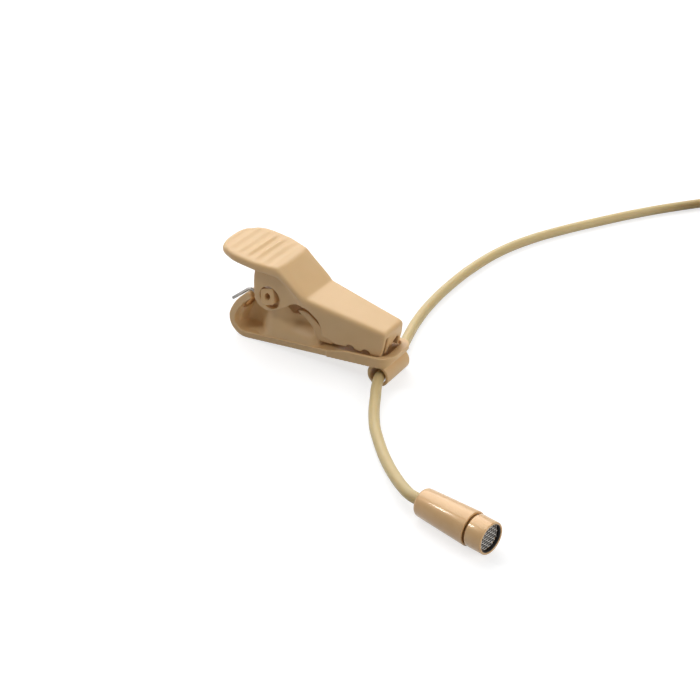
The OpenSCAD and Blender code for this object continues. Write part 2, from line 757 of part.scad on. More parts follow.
// The coil winds in, out, in and out again, and climbs a layer as it turns back
coil_layers = 4;
layer_h = coil_pitch;
loop_rings = 24;
coil_rings = coil_layers * coil_loops * loop_rings;
function ease(t) = t <= 0 ? 0 : t >= 1 ? 1 : t * t * (3 - 2 * t);
function coil_turns(i) = i / loop_rings;
function coil_radius(t) =
    let (layer = min(floor(t / coil_loops), coil_layers - 1), s = t - layer * coil_loops)
    coil_r - coil_pitch * (layer % 2 == 0 ? s : coil_loops - s);
function coil_height(t) =
    rest_z + layer_h * (ease(2 * (t - coil_loops) + 0.5) + ease(2 * (t - 2 * coil_loops) + 0.5)
        + ease(2 * (t - 3 * coil_loops) + 0.5));
function coil_point(i) =
    let (t = coil_turns(i), a = coil_from_a - 360 * t)
    [coil_at.x + coil_radius(t) * cos(a), coil_at.y + coil_radius(t) * sin(a), coil_height(t)];
coil_points = [for (i = [0:coil_rings]) coil_point(i)];
coil_end = coil_points[coil_rings];
coil_end_dir = [sin(coil_from_a), -cos(coil_from_a), 0];

// Least distance between centre lines more than a third of a turn apart, less the cable
apart = floor(loop_rings / 3);
coil_gap = min([for (i = [0:2:coil_rings]) each
    [for (j = [i + apart:1:min(coil_rings, i + 11 * loop_rings)]) norm(coil_points[i] - coil_points[j])]])
    - cable_d;
echo(str("least gap of the coil to itself, mm: ", coil_gap));
echo(str("length of cable in the coil, mm: ",
    sum_steps(coil_points)));
echo(str("length of cable outside the coil, mm: ",
    sum_steps(smooth(lead_points)) + sum_steps(smooth(tail_points)) + jacket_end));
function sum_steps(p) = sum_list([for (i = [1:len(p) - 1]) norm(p[i] - p[i - 1])]);
function sum_list(v, i = 0, total = 0) = i >= len(v) ? total : sum_list(v, i + 1, total + v[i]);

module cable_lead() {
    color(cable_tan) sweep(smooth(lead_points), cable_d / 2, 8);
}

module cable_coil() {
    lead_in = [coil_start - eps * coil_dir];
    lead_out = [coil_end + cable_d * coil_end_dir];
    color(cable_tan) sweep(concat(lead_in, coil_points, lead_out), cable_d / 2, 6);
}

// ---- connector: drawn along +Z from its nose, -X up, then laid down ----

plug_z = shell_d / 2;
shell_end = nose_len + shell_len;
boot_end = shell_end + boot_len;
boot_d = 5.6;
boot_tip_d = 3;
boot_neck_d = 4.6;
insert_d = nose_d - 2 * nose_t - 2 * seat_gap;
insert_from = 0.3;
insert_len = 15.7;
insert_end = insert_from + insert_len;
contact_bore = 0.7;
clamp_len = 3.6;
clamp_at = shell_end - clamp_len - 1;
plug_jacket_at = clamp_at - 0.4;
latch_arm = [2.75, 3.3]; // distances of the latch's arm from the axis
latch_w = 2.6;
hook_at = 1.8;
hook_len = 1.4;
button_at = 11.6;
button_len = 3.9;
button_rise = 0.9;
channel_floor = latch_arm[0] - latch_travel - 0.05;
latch_spring_d = 1;
plug_dir = [cos(plug_turn), sin(plug_turn), 0];
plug_exit = [plug_at.x, plug_at.y, plug_z] + boot_end * plug_dir;

module lay_plug() {
    translate([plug_at.x, plug_at.y, plug_z]) rotate([0, 0, plug_turn]) rotate([0, 90, 0]) children();
}

// A block above the axis, between two distances from it
module above(z, len, near, far, w) {
    translate([-far, -w / 2, z]) cube([far - near, w, len]);
}

module plug_shell() {
    grip_d = shell_d - 0.4;
    color(nickel) lay_plug() difference() {
        rotate_extrude() polygon([
            [0, 0], [nose_d / 2 - 0.3, 0], [nose_d / 2, 0.3], [nose_d / 2, nose_len],
            [shell_d / 2 - 0.3, nose_len], [shell_d / 2, nose_len + 0.3], [shell_d / 2, shell_end - 1],
            [shell_d / 2 - 1, shell_end], [0, shell_end]
        ]);
        translate([0, 0, -eps]) cylinder(d = nose_d - 2 * nose_t, h = shell_end - 0.8);
        translate([0, 0, shell_end - 1]) cylinder(d = boot_neck_d + 2 * seat_gap, h = 2);
        for (i = [0:3]) translate([0, 0, shell_end - 5 + 0.9 * i]) difference() {
            cylinder(d = shell_d + 1, h = 0.45);
            translate([0, 0, -eps]) cylinder(d = grip_d, h = 1);
        }
        above(hook_at - 0.3, hook_len + 0.6, 2, nose_d, latch_w + 0.4);
        above(button_at - 0.3, button_len + 0.6, 2, shell_d, latch_w + 1);
    }
}

module contact_places() {
    for (i = [0:3]) rotate([0, 0, 45 + 90 * i]) translate([contact_pcd / 2, 0, 0]) children();
}

module plug_insert() {
    color(dark_plastic) lay_plug() difference() {
        translate([0, 0, insert_from]) cylinder(d = insert_d, h = insert_len);
        contact_places() cylinder(d = contact_d + 2 * seat_gap, h = 20);
        above(0, 20, channel_floor, insert_d, latch_w + 0.4);
        above(button_at - 0.3, button_len + 0.6, latch_arm[1] - latch_travel - 0.1, insert_d, latch_w + 1);
        translate([-channel_floor - 1, 0, button_at + button_len / 2]) rotate([0, 90, 0])
            cylinder(d = latch_spring_d + 0.2, h = channel_floor + 1);
    }
}

module plug_contacts() {
    color(brass) lay_plug() contact_places()
        translate([0, 0, insert_from + 0.3]) tube(contact_d, contact_bore, insert_len);
}

module plug_wires() {
    wire_d = 0.4;
    start = insert_from + 0.3 + insert_len;
    reach = plug_jacket_at - start;
    colours = [[0.8, 0.1, 0.1], [0.9, 0.9, 0.9], brass];
    for (i = [0:2]) color(colours[i]) lay_plug() rotate([0, 0, 45 + 90 * i])
        sweep([for (t = [0:5]) [contact_pcd / 2 - (contact_pcd / 2 - 0.45) * ease(t / 5), 0, start + reach * t / 5]],
            wire_d / 2, 6, [0, 1, 0]);
}

module plug_cord_clamp() {
    color(nickel) lay_plug() translate([0, 0, clamp_at]) difference() {
        cylinder(d = insert_d, h = clamp_len);
        translate([0, 0, -eps]) cylinder(d = cable_d + seat_gap, h = clamp_len + 1);
        translate([0, -0.25, -eps]) cube([insert_d, 0.5, clamp_len + 1]);
    }
}

module plug_boot() {
    ribs = 4;
    rib_pitch = (boot_len - 2) / ribs;
    color(dark_plastic) lay_plug() difference() {
        union() {
            translate([0, 0, shell_end]) cylinder(d1 = boot_d, d2 = boot_tip_d, h = boot_len);
            translate([0, 0, shell_end - 1]) cylinder(d = boot_neck_d, h = 1 + eps);
        }
        translate([0, 0, shell_end - 2]) cylinder(d = cable_d + seat_gap, h = boot_len + 3);
        for (i = [0:ribs - 1]) translate([0, 0, shell_end + 1.4 + rib_pitch * i]) difference() {
            cylinder(d = boot_d + 1, h = 0.5);
            translate([0, 0, -eps]) cylinder(d = boot_tip_d - 0.4, h = 1);
        }
    }
}

module plug_cable_end() {
    color(cable_tan) lay_plug() translate([0, 0, plug_jacket_at]) cylinder(d = cable_d, h = boot_end - plug_jacket_at);
}

module plug_latch() {
    color(steel) lay_plug() {
        above(hook_at, button_at + button_len - hook_at, latch_arm[0], latch_arm[1], latch_w);
        above(hook_at, hook_len, latch_arm[1] - eps, nose_d / 2 + 0.4, latch_w);
        above(button_at, button_len, latch_arm[1] - eps, shell_d / 2 + button_rise, latch_w + 0.6);
    }
}

module plug_latch_spring() {
    color(steel) lay_plug() translate([-latch_arm[0] + seat_gap, 0, button_at + button_len / 2])
        rotate([0, 90, 0]) tube(latch_spring_d, latch_spring_d - 0.3, latch_arm[0] - 2 * seat_gap);
}

// ---- tail of the lead, from the coil's top to the connector ----

tail_start = coil_end + cable_d * coil_end_dir;
tail_points = [
    tail_start, [27.8, 104.1, 6.9], [29, 106.6, 6.3], [30.4, 109.4, 5.7], [32.1, 112.3, 5.3],
    plug_exit + cable_d * plug_dir, plug_exit
];

module cable_tail() {
    color(cable_tan) sweep(smooth(tail_points), cable_d / 2, 8);
}

// A loop of band round the coil's bundle, its ends pressed together on the outside
tie_a = -40; // direction of the tie from the coil's centre
module coil_tie() {
    mid = (2 * coil_r - coil_loops * coil_pitch) / 2;
    in_w = coil_loops * coil_pitch + cable_d + 0.6;
    in_h = (coil_layers - 1) * layer_h + cable_d + 0.2;
    color(dark_plastic) translate([coil_at.x, coil_at.y, 0]) rotate([0, 0, tie_a])
        translate([mid, tie_w / 2, 0]) rotate([90, 0, 0]) linear_extrude(tie_w) difference() {
            translate([-in_w / 2 - tie_t, 0]) square([in_w + 2 * tie_t, in_h + tie_t]);
            translate([-in_w / 2, -1]) square([in_w, in_h + 1]);
        }
}

clip_lower_arm();
clip_upper_arm();
clip_spring();
head_body();
front_cap();
grille_mesh();
dust_felt();
capsule_can();
diaphragm();
diaphragm_ring();
spacer_ring();
backplate();
backplate_holder();
contact_ring();
circuit_board();
transistor();
lead_wires();
cable_crimp();
cable_end();
cable_lead();
cable_coil();
cable_tail();
coil_tie();
plug_shell();
plug_insert();
plug_contacts();
plug_wires();
plug_cord_clamp();
plug_boot();
plug_cable_end();
plug_latch();
plug_latch_spring();
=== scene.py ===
import bpy
import bmesh
import json
import math
from itertools import product
from mathutils import Matrix, Vector


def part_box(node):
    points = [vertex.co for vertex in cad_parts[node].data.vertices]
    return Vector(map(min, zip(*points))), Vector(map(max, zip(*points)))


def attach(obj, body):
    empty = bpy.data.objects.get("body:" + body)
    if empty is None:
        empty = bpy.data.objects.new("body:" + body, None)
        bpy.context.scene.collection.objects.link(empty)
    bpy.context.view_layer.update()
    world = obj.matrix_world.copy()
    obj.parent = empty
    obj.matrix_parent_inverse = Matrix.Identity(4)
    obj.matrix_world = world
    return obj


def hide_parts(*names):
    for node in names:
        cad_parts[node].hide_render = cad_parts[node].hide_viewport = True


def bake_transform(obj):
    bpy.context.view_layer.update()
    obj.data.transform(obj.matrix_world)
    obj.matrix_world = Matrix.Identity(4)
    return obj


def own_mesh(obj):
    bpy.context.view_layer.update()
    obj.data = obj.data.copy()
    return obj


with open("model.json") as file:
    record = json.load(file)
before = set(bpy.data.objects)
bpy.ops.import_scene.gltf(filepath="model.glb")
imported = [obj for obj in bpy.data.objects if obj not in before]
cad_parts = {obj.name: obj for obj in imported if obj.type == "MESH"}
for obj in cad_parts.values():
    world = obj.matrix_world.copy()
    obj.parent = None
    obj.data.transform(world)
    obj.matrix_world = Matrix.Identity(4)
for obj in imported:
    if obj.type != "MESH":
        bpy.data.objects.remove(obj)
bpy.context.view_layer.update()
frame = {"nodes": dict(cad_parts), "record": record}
mm = 0.001


# small tools

def tint(red, green, blue):  # a colour as paint charts give it, 0 to 255
    def lin(value):
        value /= 255
        return value / 12.92 if value <= 0.04045 else ((value + 0.055) / 1.055) ** 2.4
    return (lin(red), lin(green), lin(blue), 1)


class Wire:  # one socket of a finish, with arithmetic
    def __init__(self, finish, socket):
        self.finish, self.socket = finish, socket

    def join(self, operation, other, swapped=False):
        pair = (other, self) if swapped else (self, other)
        kinds = [w.socket.type for w in pair if isinstance(w, Wire)]
        if "RGBA" in kinds:
            settings = {"data_type": "RGBA", "blend_type": operation}
            shades = [w if isinstance(w, Wire) or hasattr(w, "__len__") else (w, w, w, 1) for w in pair]
            return self.finish.node("ShaderNodeMix", settings, 2, {0: 1.0, 6: shades[0], 7: shades[1]})
        settings = {"operation": operation}
        if "VECTOR" in kinds:
            ways = [w if isinstance(w, Wire) or hasattr(w, "__len__") else (w, w, w) for w in pair]
            return self.finish.node("ShaderNodeVectorMath", settings, 0, {0: ways[0], 1: ways[1]})
        return self.finish.node("ShaderNodeMath", settings, 0, {0: pair[0], 1: pair[1]})

    def __add__(self, other):
        return self.join("ADD", other)

    def __radd__(self, other):
        return self.join("ADD", other, True)

    def __mul__(self, other):
        return self.join("MULTIPLY", other)

    def __rmul__(self, other):
        return self.join("MULTIPLY", other, True)


class Nodes:  # a node tree, and the one way in which nodes are added to it
    def __init__(self, tree):
        self.tree = tree

    def node(self, kind, settings=None, out=0, sockets=None):
        made = self.tree.nodes.new(kind)
        for key, value in (settings or {}).items():
            if key == "stops":
                ramp = made.color_ramp
                while len(ramp.elements) < len(value):
                    ramp.elements.new(0.5)
                for element, (at, shade) in zip(ramp.elements, value):
                    element.position = at
                    element.color = shade if hasattr(shade, "__len__") else (shade, shade, shade, 1)
            else:
                setattr(made, key, value)
        for key, value in (sockets or {}).items():
            if isinstance(value, Wire):
                self.tree.links.new(value.socket, made.inputs[key])
            else:
                made.inputs[key].default_value = value
        return Wire(self, made.outputs[out])

    def seen(self):  # 1 where the camera looks, also by way of a mirror or through glass
        rays = ("Is Camera Ray", "Is Glossy Ray", "Is Transmission Ray")
        ways = [self.node("ShaderNodeLightPath", out=ray) for ray in rays]
        total = ways[0] + ways[1] + ways[2]
        return self.node("ShaderNodeMath", {"operation": "MINIMUM"}, 0, {0: total, 1: 1.0})


class Finish(Nodes):  # a material and the nodes that it is made of
    def __init__(self, name, **plain):
        self.material = bpy.data.materials.new(name)
        self.material.use_nodes = True
        super().__init__(self.material.node_tree)
        self.shader = self.tree.nodes["Principled BSDF"]
        for socket, value in plain.items():
            self.shader.inputs[socket.replace("_", " ")].default_value = value

    def feed(self, **links):
        for socket, wire in links.items():
            self.tree.links.new(wire.socket, self.shader.inputs[socket.replace("_", " ")])
        return self

    def grain(self, size, detail=3.0, rough=0.55, stretch=(1, 1, 1)):  # soft noise; size in mm
        place = self.node("ShaderNodeTexCoord", out="Object")
        place = place * tuple(1 / (size * mm * s) for s in stretch)
        return self.node("ShaderNodeTexNoise", {}, "Fac", {
            "Vector": place, "Scale": 1.0, "Detail": detail, "Roughness": rough})

    def blend(self, mask, low, high):
        return self.node("ShaderNodeMix", {"data_type": "RGBA"}, 2, {0: mask, 6: low, 7: high})

    def bump(self, height, depth, strength):  # depth in mm
        return self.node("ShaderNodeBump", {}, 0, {
            "Height": height, "Distance": depth * mm, "Strength": strength})


def dress(thing, finish):
    thing.data.materials.clear()
    thing.data.materials.append(finish.material)


def addPiece(name, data):
    piece = bpy.data.objects.new(name, data)
    bpy.context.scene.collection.objects.link(piece)
    return piece


def shadeSoft(mesh):
    for face in mesh.polygons:
        face.use_smooth = True


def newPiece(name, verts, faces):  # verts in mm
    mesh = bpy.data.meshes.new(name)
    mesh.from_pydata([tuple(Vector(v) * mm) for v in verts], [], faces)
    mesh.validate()
    shadeSoft(mesh)
    return addPiece(name, mesh)


def modify(piece, kind, **settings):
    change = piece.modifiers.new(kind.lower(), kind)
    for key, value in settings.items():
        setattr(change, key, value)


def settle(piece):  # puts what the modifiers give into the mesh itself
    graph = bpy.context.evaluated_depsgraph_get()
    mesh = bpy.data.meshes.new_from_object(piece.evaluated_get(graph))
    piece.modifiers.clear()
    piece.data = mesh


def standIn(piece, nodeNames, finish, body="root"):  # body None: the piece is left unattached
    if body:
        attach(piece, body)
    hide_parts(*nodeNames)
    dress(piece, finish)


longestReach = 0.49  # the share of a side that one rounded corner may take
leastTurn = 1e-6


def rounded(corners, steps=5):  # a closed profile; each corner is (r, z, radius)
    line, count = [], len(corners)
    for i, (r, z, size) in enumerate(corners):
        here = Vector((r, z))
        before = Vector(corners[i - 1][:2]) - here
        after = Vector(corners[(i + 1) % count][:2]) - here
        if size <= 0:
            line.append(here)
            continue
        half = before.angle(after) / 2
        reach = min(size / math.tan(half), before.length * longestReach, after.length * longestReach)
        size = reach * math.tan(half)
        centre = here + (before.normalized() + after.normalized()).normalized() * size / math.sin(half)
        a = here + before.normalized() * reach - centre
        b = here + after.normalized() * reach - centre
        turn = a.angle(b)
        for k in range(steps + 1):
            t = k / steps
            spot = a
            if turn > leastTurn:
                spot = (a * math.sin((1 - t) * turn) + b * math.sin(t * turn)) / math.sin(turn)
            line.append(centre + spot)
    return line


latheSides = 96
weldDistance = 1e-8


def lathe(name, profile, place):  # place is a matrix whose +Z is the lathe's axis
    verts, faces, count = [], [], len(profile)
    for k in range(latheSides):
        turn = 2 * math.pi * k / latheSides
        verts += [place @ Vector((p.x * math.cos(turn), p.x * math.sin(turn), p.y)) for p in profile]
    for k in range(latheSides):
        for i in range(count):
            j, n = (i + 1) % count, (k + 1) % latheSides
            faces.append((k * count + i, n * count + i, n * count + j, k * count + j))
    piece = newPiece(name, verts, faces)
    weld = bmesh.new()
    weld.from_mesh(piece.data)
    bmesh.ops.remove_doubles(weld, verts=weld.verts, dist=weldDistance)
    bmesh.ops.dissolve_degenerate(weld, edges=weld.edges, dist=weldDistance)
    bmesh.ops.recalc_face_normals(weld, faces=weld.faces)
    weld.to_mesh(piece.data)
    weld.free()
    shadeSoft(piece.data)
    return piece


def tube(points, radius, sides, verts, faces, up=Vector((0, 0, 1))):  # adds a closed tube along points
    start = len(verts)
    for i, spot in enumerate(points):
        ahead = (points[min(i + 1, len(points) - 1)] - points[max(i - 1, 0)]).normalized()
        side = up.cross(ahead).normalized()
        over = ahead.cross(side)
        for k in range(sides):
            turn = 2 * math.pi * (k + 0.5) / sides
            verts.append(spot + radius * (math.cos(turn) * side + math.sin(turn) * over))
    for i in range(len(points) - 1):
        for k in range(sides):
            a, b = start + i * sides + k, start + i * sides + (k + 1) % sides
            faces.append((a, b, b + sides, a + sides))
    faces.append(tuple(start + k for k in reversed(range(sides))))
    last = start + (len(points) - 1) * sides
    faces.append(tuple(last + k for k in range(sides)))


def ease(t):  # 0 to 1, soft at both ends
    t = min(max(t, 0), 1)
    return t * t * (3 - 2 * t)


# camera

view = {"from": (86.19, -132.1, 113.45), "at": (-10.59, 15.11, 0.0), "lens": 69.57, "sensor": 36, "near": 0.01,
        "far": 5}

def setCamera():
    camera = addPiece("camera", bpy.data.cameras.new("camera"))
    camera.location = Vector(view["from"]) * mm
    ahead = (Vector(view["at"]) - Vector(view["from"])).normalized()
    camera.rotation_mode = "QUATERNION"
    camera.rotation_quaternion = ahead.to_track_quat("-Z", "Y")
    camera.data.sensor_width = view["sensor"]
    camera.data.lens = view["lens"]
    camera.data.clip_start = view["near"]
    camera.data.clip_end = view["far"]
    bpy.context.scene.camera = camera

setCamera()
print("camera set")

# where things lie, as the solids have them, in mm

clipAt = Vector((-29.4, 12.5, 0))
head = {"at": (18.8, -12.6), "turn": -11, "body": 4.8, "rear": 4.0, "bodyLength": 8.6, "gap": 0.35, "cap": 4.5,
        "capLength": 2.6, "capBore": 1.8, "mouth": 3.9, "mouthDepth": 0.5, "skirt": 4.0, "skirtLength": 1.7,
        "skirtGap": 0.05, "socketDeep": 2.3, "core": 1.6, "coreFrom": 4.3, "crimp": 1.35, "crimpFrom": 1.4,
        "boreGap": 0.05}
headTilt = math.atan((head["body"] - head["rear"]) / 2 / head["bodyLength"])
headPlace = (Matrix.Translation((*head["at"], head["rear"] / 2 * math.cos(headTilt)))
             @ Matrix.Rotation(math.radians(head["turn"]), 4, "Z")
             @ Matrix.Rotation(math.pi / 2 - headTilt, 4, "Y"))
headWay = (headPlace.to_3x3() @ Vector((0, 0, 1))).normalized()
headExit = headPlace.translation.copy()
plug = {"at": (66.2, 107.5), "turn": 168, "noseLength": 9, "shell": 10.2, "shellLength": 13, "boot": 9}
plugPlace = (Matrix.Translation((*plug["at"], plug["shell"] / 2))
             @ Matrix.Rotation(math.radians(plug["turn"]), 4, "Z") @ Matrix.Rotation(math.pi / 2, 4, "Y"))
plugWay = (plugPlace.to_3x3() @ Vector((0, 0, 1))).normalized()
plugExit = plugPlace.translation + (plug["noseLength"] + plug["shellLength"] + plug["boot"]) * plugWay

# the cable: from the head through the clip's holder, into the tied coil and the connector

cable = {"thick": 1.65, "loops": 5, "layers": 4, "pitch": 2.1, "middle": 18.6, "centre": (36.4, 91.5),
         "startTurn": 140, "pointsPerTurn": 24, "length": 1322, "climb": 2, "headStub": 1.2, "coilStub": 2,
         "curveSteps": 4, "roundSteps": 5}
rest = cable["thick"] / 2
leadPoints = [
    (15.2, -11.3, 1.75), (13.8, -10.3, 1.55), (12.3, -9.1, 1.35), (10.7, -7.7, 1.1), (9, -6.1, 0.9),
    (7.4, -4.5, rest), (5.8, -2.8, rest), (4.3, -1.1, rest), (3, 0.7, rest), (1.6, 2.9, 0.85), (0.4, 5.1, 1),
    (-0.9, 7.5, 1.2), (-1.75, 9.8, 1.35), (-1.95, 12.5, 1.35), (-2.15, 15.2, 1.35), (-3.2, 18.5, 1.15),
    (-4.5, 22.5, 0.9), (-5.7, 27.2, rest), (-6.6, 33.3, rest), (-6.9, 40.5, rest), (-6.6, 47.2, rest),
    (-5.4, 54.8, rest), (-3.1, 61.5, rest), (0, 67.6, rest), (4.3, 74.7, rest), (9, 81.8, rest),
    (13.9, 88.2, rest), (19, 94, rest)]
tailPoints = [(27.8, 104.1, 6.9), (29, 106.6, 6.3), (30.4, 109.4, 5.7), (32.1, 112.3, 5.3)]

def coilPoints():
    outer = cable["middle"] / 2 + cable["loops"] / 2 * cable["pitch"]
    centreX, centreY = cable["centre"]
    spots = []
    for i in range(cable["layers"] * cable["loops"] * cable["pointsPerTurn"] + 1):
        turns = i / cable["pointsPerTurn"]
        layer = min(int(turns // cable["loops"]), cable["layers"] - 1)
        into = turns - layer * cable["loops"]
        radius = outer - cable["pitch"] * (into if layer % 2 == 0 else cable["loops"] - into)
        climbs = [ease(cable["climb"] * (turns - k * cable["loops"]) + 0.5) for k in range(1, cable["layers"])]
        height = rest + cable["pitch"] * sum(climbs)
        turn = math.radians(cable["startTurn"] - 360 * turns)
        spots.append(Vector((centreX + radius * math.cos(turn), centreY + radius * math.sin(turn), height)))
    return spots

def cablePath():
    coil = coilPoints()
    turn = math.radians(cable["startTurn"])
    coilWay = Vector((math.sin(turn), -math.cos(turn), 0))
    lead = [headExit, headExit - cable["headStub"] * cable["thick"] * headWay]
    lead += [Vector(spot) for spot in leadPoints]
    lead.append(coil[0] - cable["coilStub"] * cable["thick"] * coilWay)
    tail = [coil[-1] + cable["thick"] * coilWay] + [Vector(spot) for spot in tailPoints]
    return lead + coil + tail + [plugExit + cable["thick"] * plugWay, plugExit]

def makeCable(path):
    curve = bpy.data.curves.new("cable", "CURVE")
    curve.dimensions = "3D"
    spline = curve.splines.new("BEZIER")
    spline.bezier_points.add(len(path) - 1)
    for point, spot in zip(spline.bezier_points, path):
        point.co = spot * mm
        point.handle_left_type = point.handle_right_type = "AUTO"
        point.radius = cable["thick"] / 2 * mm
    spline.resolution_u = cable["curveSteps"]
    curve.bevel_depth = 1  # the points hold the thickness, which keeps the curve's box tight
    curve.bevel_resolution = cable["roundSteps"]
    curve.use_fill_caps = True
    return addPiece("cable", curve)

cablePiece = makeCable(cablePath())
print("cable laid")

# finishes

tan = {"top": tint(225, 189, 140), "deep": tint(216, 178, 126), "grain": 0.09}

def mouldedTan():
    made = Finish("mouldedTan", Roughness=0.42, IOR=1.49, Subsurface_Weight=0.2, Subsurface_Scale=0.0008,
                  Subsurface_Radius=(1.0, 0.6, 0.3), Specular_IOR_Level=0.5)
    clouds = made.grain(5.0, detail=2.0)
    fine = made.grain(tan["grain"], detail=4.0, rough=0.6)
    shade = made.blend(clouds, tan["deep"], tan["top"])
    height = fine * 0.6 + made.grain(0.5, detail=2.0) * 0.8
    return made.feed(Base_Color=shade, Roughness=0.36 + fine * 0.16,
                     Normal=made.bump(height, depth=0.012, strength=0.5))

def headPaint():
    made = Finish("headPaint", Roughness=0.34, IOR=1.5, Metallic=0.1, Coat_Weight=0.5, Coat_Roughness=0.1,
                  Subsurface_Weight=0.12, Subsurface_Scale=0.0008, Subsurface_Radius=(1.0, 0.5, 0.25))
    speck = made.grain(0.12, detail=5.0, rough=0.7)
    clouds = made.grain(2.2, detail=2.0)
    shade = made.blend(clouds, tint(206, 162, 104), tint(216, 175, 120))
    shade = shade * made.blend(speck, (0.93, 0.92, 0.91, 1), (1, 1, 1, 1))
    return made.feed(Base_Color=shade, Roughness=0.3 + speck * 0.14,
                     Normal=made.bump(speck, depth=0.006, strength=0.35))

def jacket():
    made = Finish("jacket", Roughness=0.38, IOR=1.45, Subsurface_Weight=0.6, Subsurface_Scale=0.0016,
                  Subsurface_Radius=(1.0, 0.75, 0.4))
    clouds = made.grain(3.0, detail=3.0)
    fine = made.grain(0.16, detail=3.0)
    shade = made.blend(clouds, tint(198, 176, 124), tint(210, 190, 142))
    return made.feed(Base_Color=shade, Roughness=0.33 + fine * 0.18,
                     Normal=made.bump(fine, depth=0.01, strength=0.35))

def drawnSteel():
    made = Finish("drawnSteel", Metallic=1.0, Roughness=0.3)
    streaks = made.grain(0.25, detail=4.0, rough=0.6, stretch=(1, 4, 1))
    shade = made.blend(streaks, tint(122, 118, 114), tint(186, 183, 179))
    return made.feed(Base_Color=shade, Roughness=0.22 + streaks * 0.25,
                     Normal=made.bump(streaks, depth=0.004, strength=0.4))

def wireGauze():
    made = Finish("wireGauze", Metallic=1.0, Roughness=0.35)
    spots = made.grain(0.3, detail=4.0, rough=0.7)
    shade = made.blend(spots, tint(120, 116, 112), tint(200, 196, 190))
    return made.feed(Base_Color=shade, Roughness=0.25 + spots * 0.3)

def plated():
    made = Finish("plated", Metallic=1.0, Roughness=0.25)
    smear = made.grain(2.5, detail=4.0, rough=0.6)
    turned = made.grain(0.08, detail=2.0, rough=0.5, stretch=(8, 8, 1))
    shade = made.blend(smear, tint(150, 147, 142), tint(184, 182, 177))
    return made.feed(Base_Color=shade, Roughness=0.18 + smear * 0.16,
                     Normal=made.bump(turned, depth=0.002, strength=0.25))

def brassFinish():
    made = Finish("brassFinish", Metallic=1.0, Roughness=0.3)
    smear = made.grain(1.2, detail=4.0, rough=0.6)
    shade = made.blend(smear, tint(190, 150, 80), tint(222, 188, 112))
    return made.feed(Base_Color=shade, Roughness=0.22 + smear * 0.2)

def darkMoulding():
    made = Finish("darkMoulding", Roughness=0.45, IOR=1.5)
    fine = made.grain(0.12, detail=4.0, rough=0.6)
    shade = made.blend(made.grain(4.0), tint(30, 30, 32), tint(44, 44, 46))
    return made.feed(Base_Color=shade, Roughness=0.38 + fine * 0.2,
                     Normal=made.bump(fine, depth=0.01, strength=0.4))

def softRubber():
    made = Finish("softRubber", Roughness=0.7, IOR=1.5)
    fine = made.grain(0.2, detail=5.0, rough=0.7)
    shade = made.blend(made.grain(3.0), tint(26, 26, 27), tint(38, 38, 39))
    return made.feed(Base_Color=shade, Roughness=0.6 + fine * 0.25,
                     Normal=made.bump(fine, depth=0.02, strength=0.5))

def wovenTape():
    made = Finish("wovenTape", Roughness=0.85, Sheen_Weight=0.3)
    place = made.node("ShaderNodeTexCoord", out="Object")
    across = made.node("ShaderNodeTexWave", {"wave_type": "BANDS", "bands_direction": "DIAGONAL"}, "Fac",
                       {"Vector": place, "Scale": 900.0, "Distortion": 2.0, "Detail": 2.0})
    shade = made.blend(across, tint(22, 22, 23), tint(52, 52, 53))
    return made.feed(Base_Color=shade, Normal=made.bump(across, depth=0.04, strength=0.7))

def whiteMoulding():
    made = Finish("whiteMoulding", Roughness=0.45)
    fine = made.grain(0.15, detail=3.0)
    shade = made.blend(fine, tint(222, 219, 210), tint(238, 236, 228))
    return made.feed(Base_Color=shade, Roughness=0.4 + fine * 0.15)

def darkFelt():
    made = Finish("darkFelt", Roughness=0.95, Sheen_Weight=0.3)
    fibre = made.grain(0.07, detail=5.0, rough=0.8)
    shade = made.blend(fibre, tint(16, 15, 15), tint(52, 50, 49))
    return made.feed(Base_Color=shade, Normal=made.bump(fibre, depth=0.05, strength=0.9))

def metalFilm():
    made = Finish("metalFilm", Metallic=1.0, Roughness=0.12)
    smear = made.grain(0.8, detail=3.0)
    shade = made.blend(smear, tint(205, 204, 198), tint(228, 227, 222))
    return made.feed(Base_Color=shade, Roughness=0.08 + smear * 0.1)

def boardGreen():
    made = Finish("boardGreen", Roughness=0.3, Coat_Weight=0.4)
    weave = made.node("ShaderNodeTexWave", {"wave_type": "BANDS"}, "Fac", {
        "Vector": made.node("ShaderNodeTexCoord", out="Object"), "Scale": 1500.0, "Distortion": 1.0})
    shade = made.blend(weave, tint(18, 78, 40), tint(30, 98, 54))
    return made.feed(Base_Color=shade, Roughness=0.25 + weave * 0.1)

finishes = {name: make() for name, make in {
    "tan_plastic": mouldedTan, "head_metal": headPaint, "cable_jacket": jacket, "steel": drawnSteel,
    "nickel": plated, "brass": brassFinish, "black_plastic": darkMoulding, "black_rubber": softRubber,
    "white_plastic": whiteMoulding, "felt": darkFelt, "film": metalFilm, "board": boardGreen,
    "gauze": wireGauze, "tape": wovenTape}.items()}

def dressNodes():
    slotOf = {part["node"]: part["material_slot"] for part in frame["record"]["subparts"]}
    for name, thing in frame["nodes"].items():
        dress(thing, finishes[slotOf[name]])
        for face in thing.data.polygons:
            face.material_index = 0

dressNodes()
print("finishes made")

# clip: the two moulded arms, with the soft edges of a mould; x and z from the clip's own place, in mm

